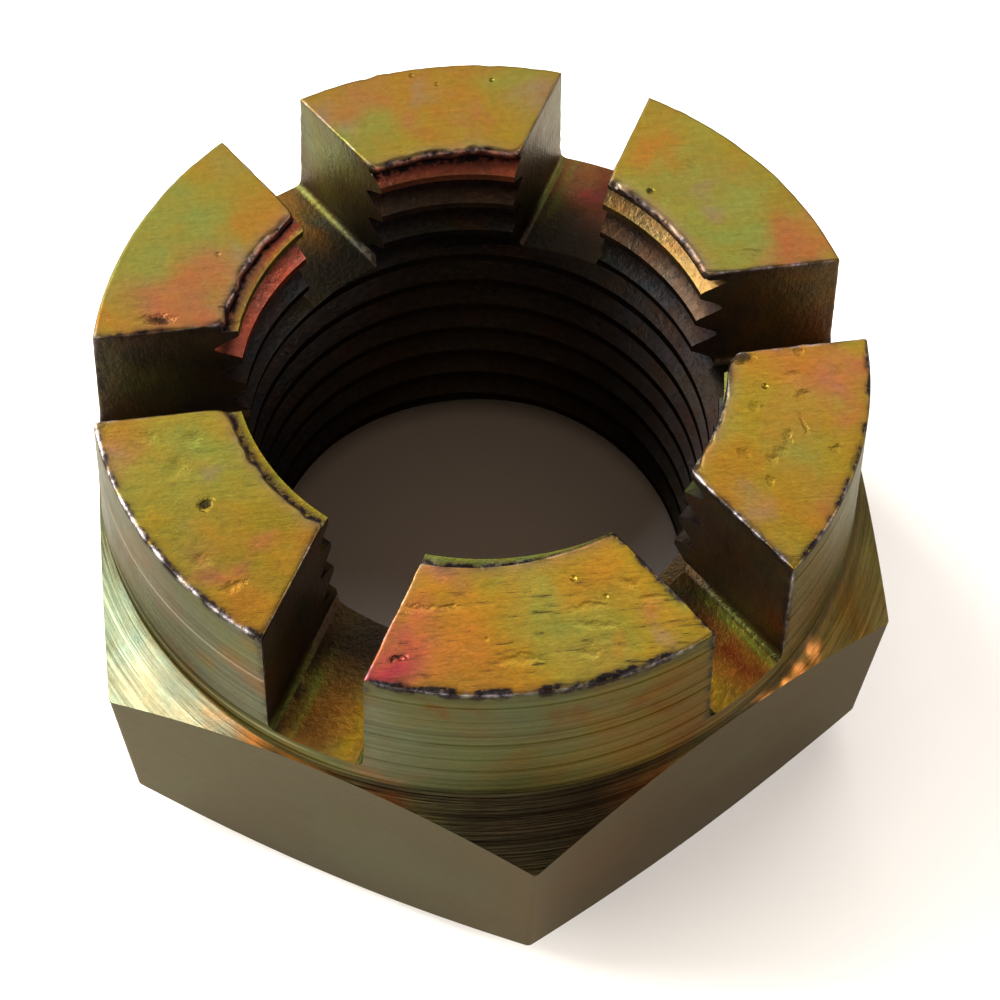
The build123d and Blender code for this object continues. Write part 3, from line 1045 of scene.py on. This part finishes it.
# Dents in the crown's top: X, Y, half length, half width, and depth as a share of DENT_DEPTH
DENT_DEPTH = 0.35
DENTS = (
    (-12.3, -7.0, 0.3, 0.28, 0.4), (9.0, 8.0, 0.28, 0.2, 0.35), (-5.1, -15.0, 0.4, 0.12, 0.4),
    (11.3, -1.8, 0.75, 0.35, 0.3), (-14.1, 2.9, 0.9, 0.3, 0.3), (14.2, -9.8, 0.25, 0.3, 0.35),
    (-13.4, -5.1, 0.6, 0.5, 0.08), (-11.3, -11.0, 0.5, 0.25, 0.12), (-14.9, -3.3, 0.5, 0.4, 0.06),
    (-12.9, -3.6, 0.4, 0.4, 0.06), (-12.7, -9.6, 0.5, 0.35, 0.07), (2.5, -15.5, 0.5, 0.3, 0.07),
    (2.9, -13.6, 0.8, 0.2, 0.09), (2.9, -14.4, 0.8, 0.2, 0.09), (4.5, -12.6, 0.5, 0.3, 0.07),
    (5.3, -13.4, 0.5, 0.25, 0.08), (-0.4, -15.7, 0.9, 0.3, 0.08), (-4.3, -12.9, 0.7, 0.2, 0.1),
    (-2.9, -13.0, 0.5, 0.15, 0.1), (11.0, 9.5, 0.4, 0.3, 0.06), (13.0, 3.8, 0.4, 0.3, 0.05),
    (13.2, -3.1, 0.4, 0.3, 0.07), (15.3, -3.2, 0.4, 0.4, 0.05), (13.3, -5.8, 0.15, 0.5, 0.1),
    (13.4, -4.3, 0.35, 0.3, 0.12), (10.6, -6.8, 0.3, 0.3, 0.14), (11.2, -8.5, 0.3, 0.3, 0.12),
    (14.3, -7.1, 0.25, 0.25, 0.12), (11.3, -4.5, 0.3, 0.3, 0.12), (12.4, -6.3, 0.25, 0.35, 0.12),
    (12.0, -6.8, 0.25, 0.35, 0.12), (11.6, -7.3, 0.25, 0.35, 0.12), (13.9, -1.9, 0.25, 0.25, 0.12),
)

# Grooves that the turning tool left, drawn as painted highlights and shade: height, half width,
# level in general and on the left
RINGS = (
    (13.5, 0.22, 0.35, 0.7), (13.95, 0.12, 0.6, 0.45), (14.45, 0.14, 0.75, 1.8),
    (14.85, 0.12, 0.9, 0.5), (15.6, 0.12, 0.65, 0.8), (16.5, 0.1, 0.8, 0.8),
    (17.65, 0.13, 0.6, 0.85), (18.35, 0.1, 0.75, 1.7), (19.4, 0.1, 0.85, 0.85),
    (20.5, 0.13, 0.6, 0.85),
)


def nut_materials(palette):
    """The six finishes, in the order of the mesh's slots."""
    usual = dict(
        metallic=0.85, rough=0.42, drift=0.12, grain=0.1, lay=(1, 1, 1), lines=0.0, marks=(),
        pits=0.0, swell=0.0, grit=0.0, cut=0.0, dents=(), scored=(), haze=0.06,
        glance=(0.85, 0.81, 0.68),
    )
    looks = {
        # Faced crown: the full film with pickling pits, half glossy
        "yellow_chromate_faced_crown": dict(
            drift=0.14, grain=0.13, lay=(0.14, 1, 1), lines=0.1, pits=0.07, swell=0.03,
            grit=0.013, cut=0.01, dents=DENTS, scored=(-10.8, -12.6),
        ),
        # Turned crown wall: rings under a thin film, so it is shinier
        "yellow_chromate_turned_steel": dict(
            metallic=1.0, rough=0.37, drift=0.08, grain=0.08, lay=(0.006, 0.006, 1), lines=0.3,
            marks=RINGS, cut=0.02, grit=0.01, glance=(0.72, 0.7, 0.6),
        ),
        # Drawn hexagon: satin and even
        "yellow_chromate_drawn_bar": dict(
            metallic=1.0, rough=0.46, drift=0.045, grain=0.07, grit=0.01, haze=0.01
        ),
        # Slots: milled, with a dark film
        "yellow_chromate_milled_slot": dict(
            rough=0.4, drift=0.2, grain=0.15, lay=(1, 1, 0.2), lines=0.2, grit=0.04, cut=0.03
        ),
        # Tapped thread: dark film, torn by the tap
        "yellow_chromate_tapped_thread": dict(
            metallic=1.0, rough=0.42, drift=0.2, grain=0.3, grit=0.05,
            glance=(0.5, 0.46, 0.42),
        ),
        # Turned shoulder: coarser rings; its bright patches are painted highlights in its film
        # colour
        "yellow_chromate_turned_shoulder": dict(
            metallic=1.0, rough=0.33, drift=0.12, grain=0.12, lay=(0.006, 0.006, 1), lines=0.5,
            cut=0.09, grit=0.008,
        ),
    }
    return [
        yellow_chromate(name, palette, SimpleNamespace(**{**usual, **look}))
        for name, look in looks.items()
    ]


class NutStudio(bpy.types.PropertyGroup):
    """Camera and light."""

    azimuth: angle("Azimuth", "Camera angle about the thread axis", -8.76)
    elevation: angle("Elevation", "Camera angle above the floor", 57.9)
    roll: angle("Roll", "Camera roll", 2.05)
    distance: length("Distance", "Camera to the aim point", 91.08)
    aim: bpy.props.FloatVectorProperty(
        name="Aim", description="Point that the camera looks at",
        default=tuple(v * MM for v in (0.945, -0.793, 9.725)), subtype="XYZ", unit="LENGTH",
    )
    lens: bpy.props.FloatProperty(
        name="Lens", description="Focal length on a sensor 36 mm wide", default=66.63
    )


# Softboxes: name, azimuth and elevation in degrees, distance, width and height in millimetres,
# watts and colour
SOFTBOXES = (
    ("window_left", -92, 21, 1300, 1300, 430, 22, (1.0, 0.97, 0.90)),
    ("key_back_left", -125, 36, 1400, 1200, 420, 45, (1.0, 0.98, 0.94)),
    ("high_back", 164, 46, 1500, 1500, 360, 12.5, (1.0, 0.98, 0.95)),
    ("fill_right", 76, 24, 1300, 1300, 450, 17, (1.0, 0.98, 0.95)),
    ("fill_front", -12, 19, 1400, 1200, 300, 11, (1.0, 0.98, 0.95)),
)


def direction(azimuth, elevation):
    """Unit vector from the aim point towards an azimuth and elevation; azimuth 0 is -Y."""
    return Vector(
        (sin(azimuth) * cos(elevation), -cos(azimuth) * cos(elevation), sin(elevation))
    )


def place_camera(studio):
    """The camera stands at the given distance along its direction from the aim point. Its right
    hand is level, then turned by the roll."""
    back = direction(studio.azimuth, studio.elevation)
    level = (-back).cross(Vector((0, 0, 1))).normalized()
    upright = level.cross(-back)
    right = level * cos(studio.roll) + upright * sin(studio.roll)
    up = back.cross(right)
    data = bpy.data.cameras.new("studio_camera")
    data.lens = studio.lens
    data.sensor_width = 36
    data.clip_start = MM
    camera = bpy.data.objects.new("studio_camera", data)
    turn = Matrix((right, up, back)).transposed().to_4x4()
    camera.matrix_world = Matrix.Translation(Vector(studio.aim) + back * studio.distance) @ turn
    bpy.context.scene.collection.objects.link(camera)
    bpy.context.scene.camera = camera


def softbox(name, azimuth, elevation, distance, width, tall, watts, tone):
    """A rectangular area light that faces the nut."""
    data = bpy.data.lights.new(name, "AREA")
    data.shape = "RECTANGLE"
    data.size, data.size_y = width * MM, tall * MM
    data.energy = watts
    data.color = tone
    lamp = bpy.data.objects.new(name, data)
    way = direction(radians(azimuth), radians(elevation))
    lamp.matrix_world = Matrix.Translation(way * distance * MM) @ way.to_track_quat(
        "Z", "Y"
    ).to_matrix().to_4x4()
    bpy.context.scene.collection.objects.link(lamp)


def matt_board(tone):
    """White painted board: rolled matt paint, so it is even, with flecks some 6 mm across."""
    material, node, mm = blank_material("matt_white_board")
    fibre = node("TexNoise", {"Vector": mm, "Scale": 0.17, "Detail": 3.0})
    fleck = node("MapRange", {0: fibre, 1: 0.3, 2: 0.7, 3: 0.985, 4: 1.0})
    paint = node("VectorMath", {0: tone, "Scale": fleck}, operation="SCALE")
    shader = node("BsdfPrincipled", {"Base Color": paint, "Roughness": 0.9})
    node("OutputMaterial", {"Surface": shader})
    return material


def studio_floor(palette):
    """A pale matt board, a flat grid 3 m across that passes 0.02 mm under the nut."""
    span = np.linspace(-1.5, 1.5, 3)
    x, y = np.meshgrid(span, span, indexing="ij")
    points = np.stack([x, y, np.full_like(x, LOW.z - 0.02 * MM)], -1).reshape(-1, 3)
    index = np.arange(9).reshape(3, 3)
    quads = np.stack([index[:-1, :-1], index[1:, :-1], index[1:, 1:], index[:-1, 1:]], -1)
    mesh = bpy.data.meshes.new("studio_floor")
    mesh.from_pydata(points.tolist(), [], quads.reshape(-1, 4).tolist())
    floor = bpy.data.objects.new("studio_floor", mesh)
    bpy.context.scene.collection.objects.link(floor)
    mesh.materials.append(matt_board(palette["floor"]))


def settings():
    """Sizes in millimetres, and the palette as plain tuples."""
    scene = bpy.context.scene
    palette = {name: tuple(getattr(scene.nut_colours, name)) for name in NutColours.__annotations__}
    return nut_sizes(scene.nut_sizes), palette


class NUT_OT_body(bpy.types.Operator):
    """Builds the nut as one closed shell with its finishes"""

    bl_idname = "castle_nut.body"
    bl_label = "Nut body"

    def execute(self, context):
        s, palette = settings()
        mesh = nut_mesh(s, palette)
        for material in nut_materials(palette):
            mesh.materials.append(material)
        body = bpy.data.objects.new("castle_nut_body", mesh)
        context.scene.collection.objects.link(body)
        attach(body, "root")
        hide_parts("castle_nut")
        return {"FINISHED"}


class NUT_OT_stage(bpy.types.Operator):
    """Sets the floor, the lights and the camera"""

    bl_idname = "castle_nut.stage"
    bl_label = "Stage"

    def execute(self, context):
        _, palette = settings()
        scene = context.scene
        studio_floor(palette)
        for light in SOFTBOXES:
            softbox(*light)
        world = bpy.data.worlds.new("studio_air")
        world.use_nodes = True
        # The room gives dim warm light, and the camera sees a white wall behind the nut
        tree = world.node_tree
        room = tree.nodes["Background"]
        room.inputs[0].default_value = (1.0, 0.7, 0.5, 1)
        room.inputs[1].default_value = 0.23
        wall = add_node(tree, "Background", {0: (1.0, 0.995, 0.985, 1)})
        ray = add_node(tree, "LightPath")
        air = add_node(
            tree, "MixShader", {0: ray.outputs["Is Camera Ray"], 1: room, 2: wall}
        )
        tree.links.new(air.outputs[0], tree.nodes["World Output"].inputs[0])
        scene.world = world
        scene.view_settings.view_transform = "Standard"
        place_camera(scene.nut_studio)
        return {"FINISHED"}


class NUT_PT_panel(bpy.types.Panel):
    """Lists the nut's sizes, colours and builders"""

    bl_label = "Castle nut"
    bl_idname = "NUT_PT_panel"
    bl_space_type = "VIEW_3D"
    bl_region_type = "UI"
    bl_category = "Castle nut"

    def draw(self, context):
        scene = context.scene
        for group in (scene.nut_sizes, scene.nut_colours, scene.nut_studio):
            box = self.layout.box()
            for name in type(group).__annotations__:
                box.prop(group, name)
        for operator in (NUT_OT_body, NUT_OT_stage):
            self.layout.operator(operator.bl_idname)


CLASSES = (NutSizes, NutColours, NutStudio, NUT_OT_body, NUT_OT_stage, NUT_PT_panel)


def register():
    for cls in CLASSES:
        bpy.utils.register_class(cls)
    bpy.types.Scene.nut_sizes = bpy.props.PointerProperty(type=NutSizes)
    bpy.types.Scene.nut_colours = bpy.props.PointerProperty(type=NutColours)
    bpy.types.Scene.nut_studio = bpy.props.PointerProperty(type=NutStudio)


def unregister():
    for name in ("nut_studio", "nut_colours", "nut_sizes"):
        delattr(bpy.types.Scene, name)
    for cls in reversed(CLASSES):
        bpy.utils.unregister_class(cls)


def main():
    register()
    bpy.ops.castle_nut.body()
    bpy.ops.castle_nut.stage()


if __name__ == "__main__":
    main()
